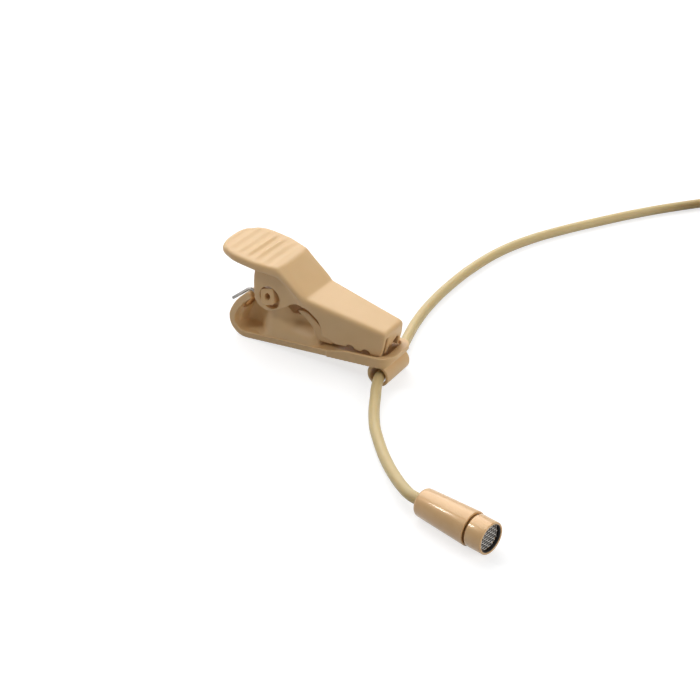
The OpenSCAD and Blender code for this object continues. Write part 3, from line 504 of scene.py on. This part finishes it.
hingeAt = (7.7, 8.9)
moulding = {"grid": 0.1, "weld": 2e-7, "passes": 6, "factor": 0.5, "keep": 0.5, "edgePasses": 70,
            "edgeDepth": 1.3, "edgeFade": 0.9}
thumbPad = {"rear": -1.0, "half": 5.0, "waist": 7.4, "front": 10.9, "frontHalf": 4.2, "corner": 4.2,
            "smallCorner": 1, "thick": 1.5, "proud": 0.02, "edge": 0.5, "slopeEnd": 15.2, "slopeHalf": 3.5,
            "sides": 24, "ribs": 6, "firstTrough": 0.3, "pitch": 1.63, "depth": 0.11, "troughLead": 0.8,
            "troughFade": 0.5, "troughHalf": 4.6, "troughEnd": 1.6, "skin": 0.5, "skinFade": 0.3}
edgeTurns = (0, 0.4, 0.8, 1.2, math.pi / 2)
lean = {"out": 0.5, "from": 10, "most": 14.8, "to": 28.0, "deep": 4.5, "fade": 4, "half": 3}
topCorners = [(-1.2, 15.93), (10.1, 14.83), (14.8, 11.0), (28.5, 8.9)]
floorLine = {"x": 3.26, "z": 1.13, "rise": 0.1263}
webForm = {"edge": 3.45, "side": 2.27, "sideOver": 2.3, "core": 0.9, "coreFade": 0.6, "rearRadius": 7.9,
           "rearCentre": (9.16, 0.24), "rimOver": 0.15, "floorOver": 0.35, "fade": 0.3,
           "foot": 1.0, "footHigh": 4.3, "footFrom": 4.2, "footGrow": 2.5, "footTo": 17.4, "footEnd": 2.4,
           "hollow": 1.9, "hollowAt": 3.0, "hollowLong": 5.5, "hollowTop": 7.8, "hollowFade": 2,
           "hollowFloor": 0.8, "hollowOver": 2.35, "hollowHalf": 1.65,
           "crest": 1.6, "crestFrom": 8.6, "crestTo": 19.0, "crestFade": 4.0, "dropFrom": 3.4, "dropFade": 4.4,
           "narrow": 0.7, "narrowFrom": 3.0, "narrowFade": 4.6}
peg = {"side": 2.4, "slant": 0.75, "from": 2.4, "long": 0.65, "proud": 0.65, "round": 1.8}

def topAt(x):  # height of the upper arm's top
    for (x0, z0), (x1, z1) in zip(topCorners, topCorners[1:]):
        if x < x1 or (x1, z1) == topCorners[-1]:
            return z0 + (z1 - z0) * (x - x0) / (x1 - x0)

def floorAt(x):  # height of the lower arm's floor
    return floorLine["z"] + floorLine["rise"] * (x - floorLine["x"])

def padPlate(mesh):  # adds the plate of the thumb pad, a hull round its rounded corners
    t, small = thumbPad, thumbPad["smallCorner"]
    front = (t["front"] - small, t["frontHalf"] - small, small)
    plate = [(t["rear"] + t["corner"], t["half"] - t["corner"], t["corner"]),
             (t["waist"] - small, t["half"] - small, small), front]
    slope = [front, (t["slopeEnd"] - small, t["slopeHalf"] - small, small)]
    layers = [(t["edge"] * (1 - math.sin(turn)), t["edge"] * (1 - math.cos(turn))) for turn in edgeTurns]
    for corners in (plate, slope):
        added = []
        for x, y, radius in corners:
            for side, (inset, low), k in product((-1, 1), layers, range(t["sides"])):
                turn = 2 * math.pi * k / t["sides"]
                spotX = x + (radius - inset) * math.cos(turn)
                spotY = side * y + (radius - inset) * math.sin(turn)
                for up in (low, t["thick"] - low):
                    spot = Vector((spotX, spotY, topAt(spotX) + t["proud"] - t["thick"] + up))
                    added.append(mesh.verts.new((spot + clipAt) * mm))
        bmesh.ops.convex_hull(mesh, input=added)

def armTop(x, y, z):  # faint troughs that run out before the pad's edge, and sides that lean out at the waist
    t = thumbPad
    wave = 0.5 + 0.5 * math.cos(2 * math.pi * (x - t["firstTrough"]) / t["pitch"])
    last = t["firstTrough"] + (t["ribs"] - 0.5) * t["pitch"]
    run = ease((x - t["firstTrough"] + t["troughLead"]) / t["troughFade"])
    run *= ease((last - x) / t["troughFade"] + 0.5)
    across = ease((t["troughHalf"] - abs(y)) / t["troughEnd"])
    across *= ease((z - topAt(x) + t["skin"]) / t["skinFade"])
    rise = ease((x - lean["from"]) / (lean["most"] - lean["from"]))
    taper = rise * min(max((lean["to"] - x) / (lean["to"] - lean["most"]), 0), 1)
    out = lean["out"] * taper * ease((z - topAt(x) + lean["deep"]) / lean["fade"])
    return x, y + out * min(max(y / lean["half"], -1), 1), z - t["depth"] * wave * run * across

def webSides(x, y, z):  # web flush with the floor's edge, hollow at the rear bend, and slanted peg ends
    w = webForm
    edge, solid = w["edge"], w["side"]
    wide, side, high = abs(y), (1 if y > 0 else -1), z - floorAt(x)
    inside = w["rearRadius"] - math.hypot(x - w["rearCentre"][0], z - w["rearCentre"][1])
    reach = ease((inside + w["rimOver"]) / w["fade"]) * ease((high + w["floorOver"]) / w["fade"])
    along = ease((x - w["footFrom"]) / w["footGrow"]), ease((w["footTo"] - x) / w["footEnd"])
    out = w["foot"] * ease(1 - high / w["footHigh"]) * along[0] * along[1] * reach
    middle = ease(1 - abs(x - w["hollowAt"]) / w["hollowLong"])
    above = ease((w["hollowTop"] - z) / w["hollowFade"])
    into = w["hollow"] * middle * above * reach * ease(high / w["hollowFloor"])
    crest = ease((x - w["crestFrom"]) / w["crestFade"]) * ease((w["crestTo"] - x) / w["crestFade"]) * reach
    onWeb = wide <= w["sideOver"]
    if w["core"] < wide <= solid:
        wide += out * ease((wide - w["core"]) / w["coreFade"])
    elif solid < wide < edge:
        wide = edge - (edge - wide) * (edge - solid - out) / (edge - solid)
    if wide < w["hollowOver"] + out:
        wide -= into * min(wide / w["hollowHalf"], 1)
    if onWeb:
        wide *= 1 - w["narrow"] * crest * ease((z - w["narrowFrom"]) / w["narrowFade"])
    drop = w["crest"] * crest * ease((z - w["dropFrom"]) / w["dropFade"])
    if math.hypot(x - hingeAt[0], z - hingeAt[1]) < peg["round"] and wide > peg["from"]:
        share = min(max((z - hingeAt[1]) / peg["side"] + 0.5, 0), 1)
        wide += (wide - peg["from"]) / peg["long"] * (peg["proud"] - peg["slant"] * share)
    return x, side * wide, z - drop

def moulded(name, nodeName, body, form, plate=None, softTop=False):
    piece = addPiece(name, frame["nodes"][nodeName].data.copy())
    weld = bmesh.new()
    weld.from_mesh(piece.data)
    bmesh.ops.remove_doubles(weld, verts=weld.verts, dist=moulding["weld"])
    if plate:
        plate(weld)
    weld.to_mesh(piece.data)
    weld.free()
    modify(piece, "REMESH", mode="VOXEL", voxel_size=moulding["grid"] * mm, use_smooth_shade=True)
    modify(piece, "SMOOTH", factor=moulding["factor"], iterations=moulding["passes"])
    settle(piece)
    if softTop:
        group = piece.vertex_groups.new(name="top")
        for vert in piece.data.vertices:
            x, high = vert.co.x / mm - clipAt.x, vert.co.z / mm
            over = moulding["edgeDepth"] + moulding["edgeFade"] - topAt(x) + high
            share = ease(over / moulding["edgeFade"])
            if share > 0:
                group.add([vert.index], share, "REPLACE")
        modify(piece, "SMOOTH", factor=moulding["factor"], iterations=moulding["edgePasses"],
               vertex_group="top")
        settle(piece)
    for vert in piece.data.vertices:
        spot = vert.co / mm - clipAt
        vert.co = (Vector(form(*spot)) + clipAt) * mm
    modify(piece, "DECIMATE", ratio=moulding["keep"])
    settle(piece)
    shadeSoft(piece.data)
    standIn(piece, [nodeName], finishes["tan_plastic"], body)

moulded("clipLowerMoulding", "clip_lower_arm", "root", webSides)
moulded("clipUpperMoulding", "clip_upper_arm", "upper_arm", armTop, padPlate, True)
print("clip moulded")

# clip: the spring round the hinge

spring = {"wire": 0.5, "across": 2.3, "pitch": 0.85, "turns": 2, "stepDegrees": 12, "padTouch": 1.6,
          "legSteps": 8, "sides": 12}
hookPoints = [(6.2, -1.1, 7.35), (5.2, -1.55, 7.3), (4.6, -2.0, 7.75), (4.3, -2.2, 8.3), (3.9, -2.3, 8.6),
              (3.3, -2.35, 8.4), (2.4, -2.4, 7.65), (0.35, -2.5, 5.95)]  # over the end of the rear wall

def makeSpring():
    hingeX, hingeZ = hingeAt
    radius, touchX = spring["across"] / 2, spring["padTouch"]
    padTouch = Vector((touchX, topAt(touchX) - thumbPad["thick"] - spring["wire"] / 2))
    hook = [Vector(spot) for spot in hookPoints]
    def leave(spot, sign):  # where a leg leaves the turns, in degrees
        away = spot - Vector((hingeX, hingeZ))
        return math.degrees(math.atan2(away.y, away.x)) + sign * math.degrees(math.acos(radius / away.length))
    first, last = leave(padTouch, -1), leave(hook[0].xz, 1)
    if last > first:
        last -= 360
    turn = first - last + 360 * spring["turns"]
    width = turn / 360 * spring["pitch"]
    steps = int(turn / spring["stepDegrees"])
    line = [Vector((padTouch.x, width / 2, padTouch.y))]
    for i in range(steps + 1):
        angle = math.radians(first - turn * i / steps)
        across = width * (0.5 - i / steps)
        line.append(Vector((hingeX + radius * math.cos(angle), across, hingeZ + radius * math.sin(angle))))
    leg = [line[0].lerp(line[1], k / spring["legSteps"]) for k in range(spring["legSteps"])]
    verts, faces = [], []
    tube([spot + clipAt for spot in leg + line[1:] + hook], spring["wire"] / 2, spring["sides"], verts, faces,
         Vector((0, 1, 0)))
    piece = newPiece("clipSpringWire", verts, faces)
    standIn(piece, ["clip_spring"], finishes["steel"], None)
    middle = clipAt + Vector((hingeX, 0, hingeZ))
    tuple((middle - Vector((0, width / 2, 0))) * mm)
    tuple((middle + Vector((0, width / 2, 0))) * mm)
    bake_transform(piece)

makeSpring()
print("spring wound")

# connector: the spring under the latch

latchSpring = {"wire": 0.16, "turns": 5, "travel": 0.6, "stepsPerTurn": 20, "closeEnds": 0.35, "sides": 8}

def makeLatchSpring():
    lowest, highest = (Vector(corner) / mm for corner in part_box("plug_latch_spring"))
    middle, tall = (lowest + highest) / 2, highest.z - lowest.z
    wire, perTurn, ends = latchSpring["wire"], latchSpring["stepsPerTurn"], latchSpring["closeEnds"]
    count = latchSpring["turns"] * perTurn
    radius = (highest.x - lowest.x) / 2 - wire / 2
    line = []
    for i in range(count + 1):
        turn = 2 * math.pi * i / perTurn
        up = ease(i / count) * ends + (1 - ends) * i / count  # turns lie closer at both ends
        line.append(Vector((middle.x + radius * math.cos(turn), middle.y + radius * math.sin(turn),
                            lowest.z + wire / 2 + up * (tall - wire))))
    verts, faces = [], []
    tube(line, wire / 2, latchSpring["sides"], verts, faces)
    piece = newPiece("latchSpringWound", verts, faces)
    standIn(piece, ["plug_latch_spring"], finishes["steel"])
    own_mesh(piece)
    return piece

latchSpringPiece = makeLatchSpring()
print("latch spring wound")

# head: turned body and cap, a black ring of painted shade in the mouth, woven grille

edges = {"bore": 0.08, "rear": 0.75, "front": 0.1, "socket": 0.04, "skirt": 0.05, "capRear": 0.08, "rim": 0.16,
         "mouth": 0.1}
# a thin black ring over the mouth's inner wall: painted shade for the recessed mouth
mouthShade = {"thick": 0.07, "sunk": 0.01, "inner": 0.12, "outer": 0.1, "edge": 0.02}
grille = {"pitch": 0.4, "wire": 0.15, "gap": 0.01, "wave": 0.035, "flat": 0.8, "sides": 6, "stepsPerPitch": 6,
          "fewest": 4, "up": (0.1, 0.2, 1)}

def makeHead():
    h, e = head, edges
    rear, front, length = h["rear"] / 2, h["body"] / 2, h["bodyLength"]
    bore, socket = cable["thick"] / 2 + h["boreGap"], h["skirt"] / 2 + h["skirtGap"]
    bottom = length - h["socketDeep"]
    body = rounded([(bore, 0, e["bore"]), (rear, 0, e["rear"]), (front, length, e["front"]),
                    (socket, length, e["socket"]), (socket, bottom, 0), (h["core"], bottom, 0),
                    (h["core"], h["coreFrom"], 0), (h["crimp"], h["coreFrom"], 0),
                    (h["crimp"], h["crimpFrom"], 0), (bore, h["crimpFrom"], 0)])
    standIn(lathe("headBodyTurned", body, headPlace), ["head_body"], finishes["head_metal"])
    start = length + h["gap"]
    end = start + h["capLength"]
    seat = end - h["mouthDepth"] - grille["wire"]
    skirt, cap, mouth = h["skirt"] / 2, h["cap"] / 2, h["mouth"] / 2
    skirtEnd = start - h["skirtLength"]
    shell = rounded([(skirt, skirtEnd, e["skirt"]), (skirt, start, 0), (cap, start, e["capRear"]),
                     (cap, end, e["rim"]), (mouth, end, e["mouth"]), (mouth, seat, 0),
                     (h["capBore"], seat, 0), (h["capBore"], skirtEnd, 0)])
    standIn(lathe("headCapTurned", shell, headPlace), ["front_cap"], finishes["head_metal"])
    # the black ring is painted shade: it darkens the mouth's inner wall where the recess is in shadow
    inner, outer = mouth - mouthShade["thick"], mouth + mouthShade["sunk"]
    ring = lathe("headMouthPaintedShade", rounded([
        (inner, seat, 0), (inner, end - mouthShade["inner"], mouthShade["edge"]),
        (outer, end - mouthShade["outer"], mouthShade["edge"]), (outer, seat, 0)]), headPlace)
    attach(ring, "root")
    dress(ring, finishes["black_plastic"])
    weaveGrille(inner - grille["gap"], seat + grille["wire"] / 2)

def weaveGrille(limit, middle):  # wires over and under each other, cut to the round opening
    verts, faces = [], []
    pitch = grille["pitch"]
    count = int(limit // pitch)
    up = headPlace.to_3x3() @ Vector(grille["up"])
    for way in (0, 1):
        for i in range(-count, count + 1):
            across = i * pitch
            half = math.sqrt(max(limit ** 2 - across ** 2, 0))
            steps = max(int(2 * half / (pitch / grille["stepsPerPitch"])), grille["fewest"])
            line = []
            for k in range(steps + 1):
                along = -half + 2 * half * k / steps
                wave = math.cos(math.pi * along / pitch) * (1 if (i + way) % 2 == 0 else -1)
                spot = (along, across) if way == 0 else (across, along)
                line.append(headPlace @ Vector((*spot, middle + grille["wave"] * wave)))
            tube(line, grille["wire"] / 2 * grille["flat"], grille["sides"], verts, faces, up)
    standIn(newPiece("headGrilleWoven", verts, faces), ["grille_mesh"], finishes["gauze"])

makeHead()
print("head turned")

# the cable stands in for the lead, coil and tail

def declareCable():
    standIn(cablePiece, ["cable_lead", "cable_coil", "cable_tail"], finishes["cable_jacket"])

# the strap round the coil: over and under the bundle, its end laid on itself

strap = {"wide": 3.0, "thick": 0.5, "thin": 0.12, "turn": -40, "spare": 8.0, "loose": 0.05, "lowCorner": 0.9,
         "topCorner": 1.2, "cornerSteps": 8, "thinTo": 0.2, "thinFade": 1.2, "topOver": 0.02, "lift": 0.03,
         "overThick": 0.9, "bevel": 0.12, "bevelSteps": 2, "bevelDegrees": 50}

def makeStrap():
    s = strap
    bundle = cable["loops"] * cable["pitch"] + cable["thick"]
    half = bundle / 2 + s["loose"]
    tall = (cable["layers"] - 1) * cable["pitch"] + cable["thick"] + s["loose"]
    place = (Matrix.Translation((*cable["centre"], 0)) @ Matrix.Rotation(math.radians(s["turn"]), 4, "Z")
             @ Matrix.Translation((cable["middle"] / 2, 0, 0)))
    low = s["thin"] * 0.5
    inner = rounded([(-half, low, s["lowCorner"]), (half, low, s["lowCorner"]), (half, tall, s["topCorner"]),
                     (-half, tall, s["topCorner"])], s["cornerSteps"])
    halfway = [spot.lerp(inner[(i + 1) % len(inner)], 0.5) for i, spot in enumerate(inner)]
    inner = [spot for pair in zip(inner, halfway) for spot in pair]
    line, count = [], len(inner)
    for i in range(count + 1):
        spot = inner[i % count]
        ahead = (inner[(i + 1) % count] - inner[(i - 1) % count]).normalized()
        out = Vector((ahead.y, -ahead.x))
        up = min(max((spot.y - s["thinTo"]) / s["thinFade"], 0), 1)
        line.append((spot, spot + out * (s["thin"] + (s["thick"] - s["thin"]) * up)))
    # the free end runs on along the top
    lift, top = Vector((0, s["lift"])), Vector((0, s["lift"] + s["thick"] * s["overThick"]))
    most = half - s["topCorner"]
    over = [(outer + lift, outer + top) for spot, outer in line
            if spot.y > tall - s["topOver"] and most - s["spare"] < spot.x < most]
    verts, faces = [], []
    for run, closed in ((line[:-1], True), (over, False)):
        start, steps = len(verts), len(run)
        for spot, side in product([spot for pair in run for spot in pair], (-1, 1)):
            verts.append(place @ Vector((spot.x, side * s["wide"] / 2, spot.y)))
        for i in range(steps if closed else steps - 1):
            a, b = start + 4 * i, start + 4 * ((i + 1) % steps)
            faces += [(a, a + 1, b + 1, b), (a + 2, b + 2, b + 3, a + 3), (a, b, b + 2, a + 2),
                      (a + 1, a + 3, b + 3, b + 1)]
        if not closed:
            last = start + 4 * (steps - 1)
            faces += [(start, start + 2, start + 3, start + 1), (last, last + 1, last + 3, last + 2)]
    piece = newPiece("coilStrap", verts, faces)
    modify(piece, "BEVEL", width=s["bevel"] * mm, segments=s["bevelSteps"], limit_method="ANGLE",
           angle_limit=math.radians(s["bevelDegrees"]))
    settle(piece)
    standIn(piece, ["coil_tie"], finishes["tape"])
    return piece

strapPiece = makeStrap()
declareCable()

# floor and light

light = {"world": 0.15, "paper": 0.42, "paperSpread": 0.01, "paperGrain": 40.0, "paperGlow": 0.7}
floorSpan = {"left": -900, "right": 1200, "near": -900, "far": 1500, "high": -0.02}
lamps = {"keyLamp": {"from": (-265, 233, 421), "size": 600, "power": 3.15},
         "fillLamp": {"from": (430, -20, 190), "size": 300, "power": 0.9},
         "streakLamp": {"from": (-350, -170, 360), "size": 70, "power": 0.45}}

def addLamp(name, values):
    made = addPiece(name, bpy.data.lights.new(name, "AREA"))
    made.location = Vector(values["from"]) * mm
    made.rotation_mode = "QUATERNION"
    made.rotation_quaternion = (-Vector(values["from"])).to_track_quat("-Z", "Y")
    made.data.size = values["size"] * mm
    made.data.energy = values["power"]

def setStage():
    f = floorSpan
    corners = [(f["left"], f["near"]), (f["right"], f["near"]), (f["right"], f["far"]), (f["left"], f["far"])]
    floor = newPiece("floor", [(x, y, f["high"]) for x, y in corners], [(0, 1, 2, 3)])
    paper = Finish("paper", Roughness=0.9)
    low, high = light["paper"] - light["paperSpread"], light["paper"] + light["paperSpread"]
    shade = paper.blend(paper.grain(light["paperGrain"], detail=2.0), (low, low, low, 1), (high, high, high, 1))
    paper.feed(Base_Color=shade)
    glow = paper.node("ShaderNodeEmission", sockets={
        "Color": (1, 1, 1, 1), "Strength": paper.seen() * light["paperGlow"]})
    both = paper.node("ShaderNodeAddShader", sockets={0: Wire(paper, paper.shader.outputs[0]), 1: glow})
    paper.tree.links.new(both.socket, paper.tree.nodes["Material Output"].inputs["Surface"])
    dress(floor, paper)
    world = bpy.data.worlds.new("studio")
    bpy.context.scene.world = world
    world.use_nodes = True
    air = Nodes(world.node_tree)
    level = air.seen() * (1 - light["world"]) + light["world"]
    air.tree.links.new(level.socket, air.tree.nodes["Background"].inputs["Strength"])
    air.tree.nodes["Background"].inputs["Color"].default_value = (1, 1, 1, 1)
    for name, values in lamps.items():
        addLamp(name, values)
    bpy.context.scene.view_settings.view_transform = "Standard"

setStage()
print("stage lit")

bpy.context.view_layer.update()
